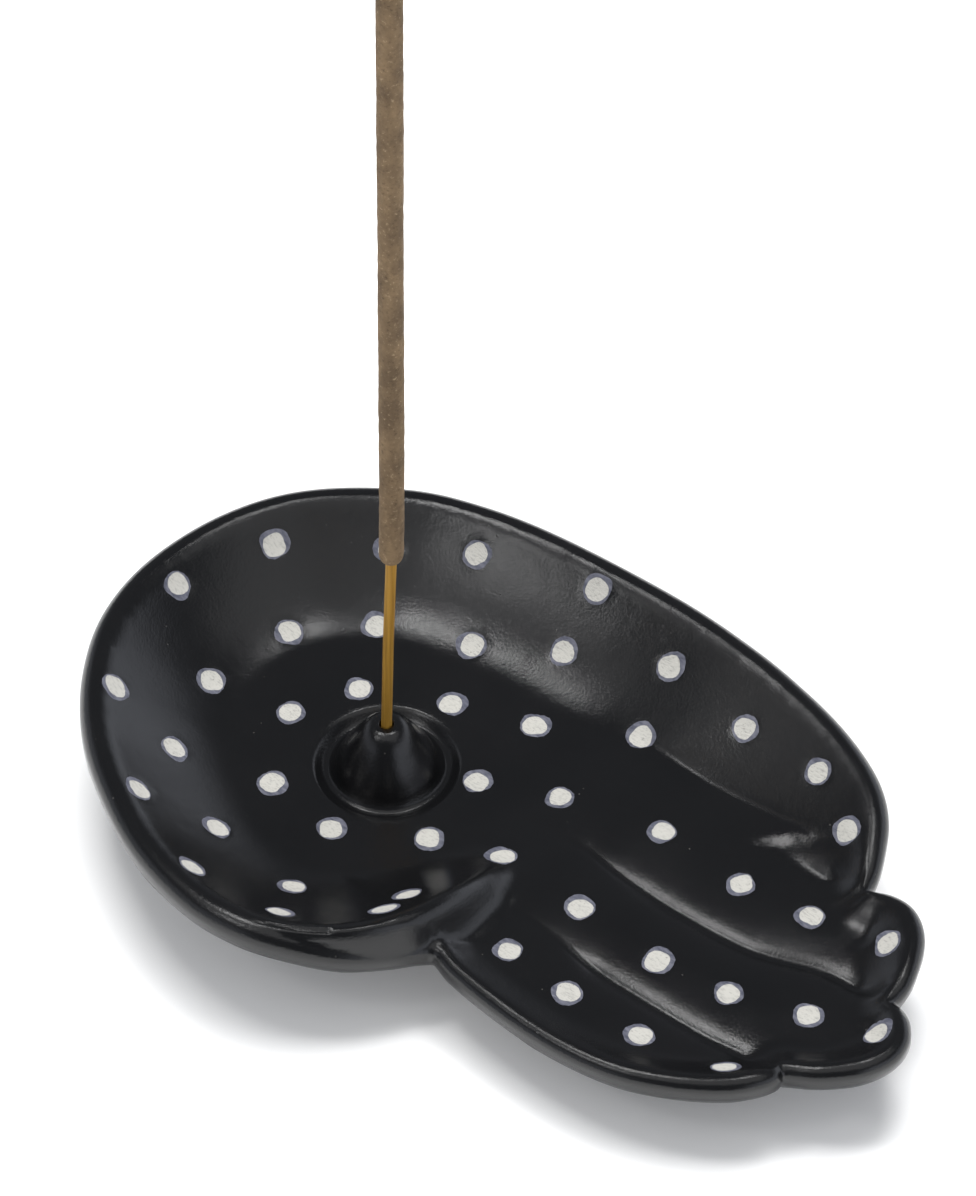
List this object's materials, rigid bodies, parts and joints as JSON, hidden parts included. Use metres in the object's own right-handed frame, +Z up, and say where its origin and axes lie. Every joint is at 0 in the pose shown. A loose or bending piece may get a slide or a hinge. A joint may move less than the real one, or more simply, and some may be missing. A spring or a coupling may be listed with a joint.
{
  "type": "incense burner",
  "caption": "Shallow carved dish in the shape of an open hand, with a domed boss in a round moat that holds one incense stick.",
  "frame": {"origin": "on the table, under the hole in the boss, on the flat underside of the dish", "axes": "+X from the heel of the hand to the fingertips, +Y to the little finger's side, +Z up along the hole and the stick"},
  "size_m": [0.1231, 0.0788, 0.2323],
  "materials": {
    "dyed_soapstone": "satin",
    "bamboo": "satin",
    "masala_paste": "matte"
  },
  "bodies": {
    "dish": {"hand_dish": "dyed_soapstone"},
    "incense_stick": {"bamboo_splint": "bamboo", "incense_paste": "masala_paste"}
  },
  "joints": [
    {"name": "stick_lift", "type": "slide", "parent": "dish", "child": "incense_stick", "axis": [0, 0, 1], "range_m": [0, 0.04]}
  ]
}
